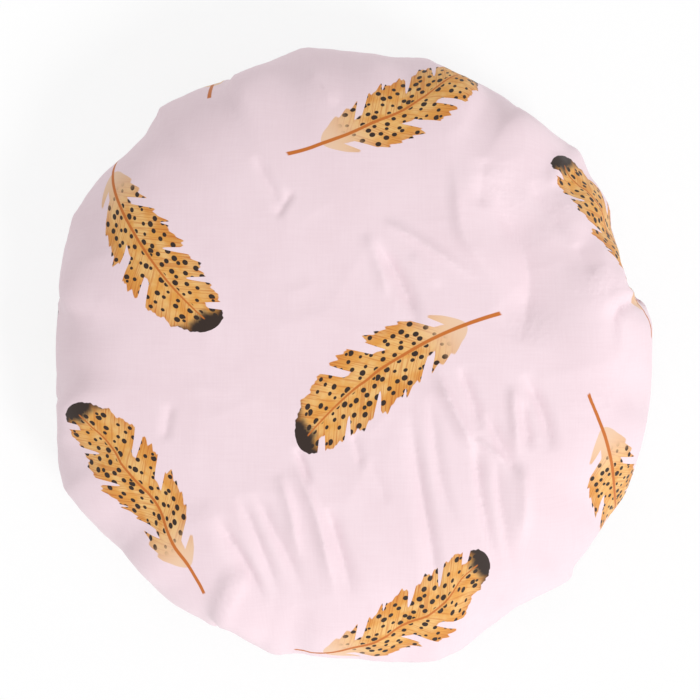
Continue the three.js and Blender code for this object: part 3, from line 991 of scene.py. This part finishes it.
def feather_print(graph, ground, x, y):
    """The ground colour with the feathers printed over it."""
    along, across = feather_place(x + PRINT_START[0], y + PRINT_START[1])
    share = along / FEATHER_LENGTH + 0.5
    vane = ((share - QUILL_SHARE) / (1 - QUILL_SHARE)).clamped(0, 1)
    aside = abs(across)
    side = across.math("SIGN") * 3
    barb = along - aside * BARB_SLOPE
    ragged = graph.noise(barb / RAGGED_PITCH, side, detail=1) * 0.5 + 0.74
    split = graph.noise(barb / SPLIT_PITCH, side + 20, detail=0).rise(0.6, 0.68) * -SPLIT_DEPTH + 1
    fullness = (vane**BASE_POWER) * ((1 - vane) ** TIP_POWER)
    half = fullness * ragged * split * (WIDEST * FEATHER_HALF_WIDTH)
    inside = (half - aside).rise(-INK_EDGE, INK_EDGE) * half.rise(0, 0.5)

    wash = graph.noise(along / WASH_SIZE[0], across / WASH_SIZE[1], detail=3)
    streak = graph.noise(barb / STREAK_SIZE[0], aside / STREAK_SIZE[1] + side, detail=1)
    rim = (aside / half.math("MAXIMUM", 0.01)).rise(0.55, 1.0)
    paint = graph.mix(GOLD, PALE_GOLD, wash.rise(0.35, 0.65))
    paint = graph.mix(paint, RUST, (streak.rise(0.45, 0.7) * 0.55 + rim * 0.35).clamped(0, 1))
    paint = graph.mix(PEACH, paint, vane.rise(0.02, 0.3))
    paint = graph.mix(paint, DARK, (vane + wash * 0.1).rise(0.93, 1.0))

    distance, number = graph.cells(along / SPECKLE_CELL[0], across / SPECKLE_CELL[1])
    speckle = (number * SPECKLE_SPREAD + SPECKLE_LEAST - distance).rise(-SPECKLE_EDGE, SPECKLE_EDGE)
    speckle = speckle * vane.rise(0.1, 0.2) * aside.rise(0.8, 1.3)
    paint = graph.mix(paint, DARK, speckle)
    shaft_half = SHAFT_HALF_WIDTH - share * SHAFT_TAPER
    shaft = (shaft_half - aside).rise(-SHAFT_EDGE, SHAFT_EDGE) * share.rise(0, 0.01) * share.rise(0.95, 0.94)
    printed = graph.mix(ground, paint, inside)
    return graph.mix(printed, RUST, shaft)


def printed_fabric(cut_radius):
    graph = Finish(
        "printed_fabric", Roughness=0.65, Sheen_Weight=0.15, Sheen_Roughness=0.5, Specular_IOR_Level=0.35
    )
    u, v = graph.map_place("OFBake")
    x = (u - 0.5) * (2 * cut_radius / MM)
    y = (v - 0.5) * (2 * cut_radius / MM)
    thick, long = SLUB_SIZE
    warp = graph.noise(x / thick, y / long, detail=1)
    weft = graph.noise(x / long, y / thick, detail=1)
    slub = warp * 0.5 + weft * 0.5
    mottle = graph.noise(x / MOTTLE_SIZE, y / MOTTLE_SIZE, detail=3)
    ground = graph.mix(GROUND, GROUND_SHADE, (slub * 0.5 + mottle * 0.5).rise(0.3, 0.7))
    colour = feather_print(graph, ground, x, y)
    weave = x.wave(WEAVE_PITCH) * y.wave(WEAVE_PITCH)
    crumple = graph.noise(x / CRUMPLE_SIZE, y / CRUMPLE_SIZE, detail=2, roughness=0.4)
    return graph.made(colour, graph.bump(weave * 0.03 + slub * 0.08 + crumple * 0.8, FABRIC_RELIEF))


def lining_film():
    graph = Finish("lining_film", Roughness=0.4, Specular_IOR_Level=0.5, Sheen_Weight=0.05)
    u, v = graph.map_place("OFBake")
    crinkle = graph.noise(u * FILM_CRINKLES, v * FILM_CRINKLES, detail=5, roughness=0.6)
    colour = graph.mix(*FILM_SHADES, crinkle.rise(0.35, 0.65))
    return graph.made(colour, graph.bump(crinkle, FILM_RELIEF))


def binding_tape():
    graph = Finish("binding_tape", Roughness=0.88, Sheen_Weight=0.15, Specular_IOR_Level=0.2)
    along, across = graph.map_place("weave")
    rib = (along + across).wave(TAPE_WEAVE)
    cross_rib = (along - across).wave(TAPE_WEAVE)
    mottle = graph.noise(along / TAPE_MOTTLE, across / TAPE_MOTTLE, detail=3)
    colour = graph.mix(*TAPE_SHADES, (mottle * 0.8 + rib * 0.1).rise(0.3, 0.7))
    return graph.made(colour, graph.bump(rib * cross_rib * 0.5 + mottle, TAPE_RELIEF))


def sewing_thread():
    graph = Finish("thread", Roughness=0.6, Sheen_Weight=0.3, Specular_IOR_Level=0.35)
    along, across = graph.map_place("weave")
    ply = (along + across * PLY_SLANT).wave(PLY_PITCH)
    colour = graph.mix(*THREAD_SHADES, ply.rise(-1, 0.6))
    return graph.made(colour, graph.bump(ply, THREAD_RELIEF))


def elastic_knit():
    graph = Finish("elastic", Roughness=0.8, Sheen_Weight=0.2, Specular_IOR_Level=0.2)
    along, across = graph.map_place("weave")
    knit = along.wave(KNIT_PITCH[0]) * across.wave(KNIT_PITCH[1])
    fuzz = graph.noise(along / FUZZ_SIZE, across / FUZZ_SIZE, detail=3)
    colour = graph.mix(*ELASTIC_SHADES, (knit * 0.25 + fuzz).rise(0.3, 0.8))
    return graph.made(colour, graph.bump(knit * 0.5 + fuzz * 0.5, ELASTIC_RELIEF))


def place_piece(piece, node, material):
    """Gives a piece its one material and its place in the frame."""
    piece.data.materials.clear()
    piece.data.materials.append(material)
    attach(piece, "root")
    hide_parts(node)
    return piece


profile = Profile()
thread = sewing_thread()
shell = place_piece(make_shell(profile), "outer_shell", printed_fabric(profile.total))
lining = place_piece(make_lining(shell), "waterproof_lining", lining_film())
tape_piece, tape_cut = make_tape()
tape = place_piece(tape_piece, "edge_binding", binding_tape())
elastic = place_piece(make_elastic(), "elastic_band", elastic_knit())
place_piece(make_lap_stitch(), "elastic_lap_stitch", thread)
place_piece(seam_row("outer_seam", 1), "binding_needle_thread", thread)
place_piece(seam_row("inner_seam", -1), "binding_bobbin_thread", thread)
place_piece(make_join_stitch(), "binding_join_stitch", thread)

# The stage
FLOOR_HALF = 6.0
FLOOR_LEVEL = -0.2 * MM
FLOOR_COLOUR = (0.95, 0.95, 0.95, 1)
FLOOR_WHITE = 0.82  # share of plain white in what the camera sees of the floor
ROOM_LIGHT = 0.71
SUN_LIGHT = 1.65
SUN_WIDTH = math.radians(16)
SUN_FROM = Vector((0.79, -0.84, 0.95))

scene = bpy.context.scene
scene.view_settings.view_transform = "Standard"


def make_floor():
    corners = [(-1, -1), (1, -1), (1, 1), (-1, 1)]
    mesh = bpy.data.meshes.new("floor")
    mesh.from_pydata([(x * FLOOR_HALF, y * FLOOR_HALF, FLOOR_LEVEL) for x, y in corners], [], [(0, 1, 2, 3)])
    finish = Finish("floor", Base_Color=FLOOR_COLOUR, Roughness=0.9, Specular_IOR_Level=0)
    white = finish.node("ShaderNodeEmission").outputs[0]
    shown = finish.mix_shaders(finish.shader.outputs[0], white, finish.white_to_the_eye(FLOOR_WHITE))
    finish.feed(finish.tree.nodes["Material Output"].inputs["Surface"], shown)
    mesh.materials.append(finish.material)
    add_object("floor", mesh)


def make_room():
    world = bpy.data.worlds.new("soft_room")
    scene.world = world
    world.use_nodes = True
    graph = Graph(world.node_tree)
    room = graph.tree.nodes["Background"]
    room.inputs["Strength"].default_value = ROOM_LIGHT
    room.inputs["Color"].default_value = (1, 1, 1, 1)
    white = graph.node("ShaderNodeBackground")
    white.inputs["Color"].default_value = (1, 1, 1, 1)
    shown = graph.mix_shaders(room.outputs[0], white.outputs[0], graph.white_to_the_eye(1))
    graph.feed(graph.tree.nodes["World Output"].inputs["Surface"], shown)


def make_sun():
    light = bpy.data.lights.new("window", "SUN")
    light.energy = SUN_LIGHT
    light.angle = SUN_WIDTH
    sun = bpy.data.objects.new("window", light)
    sun.rotation_euler = SUN_FROM.to_track_quat("Z", "Y").to_euler()
    scene.collection.objects.link(sun)


def make_camera():
    data = bpy.data.cameras.new("camera")
    data.lens = LENS
    data.sensor_width = SENSOR
    camera = bpy.data.objects.new("camera", data)
    scene.collection.objects.link(camera)
    right, down = (PHOTO_PIXELS / 2 - middle for middle in PHOTO_MIDDLE)
    camera.location = (right * PIXEL, -down * PIXEL, CAMERA_HEIGHT)
    scene.camera = camera


make_floor()
make_room()
make_sun()
make_camera()
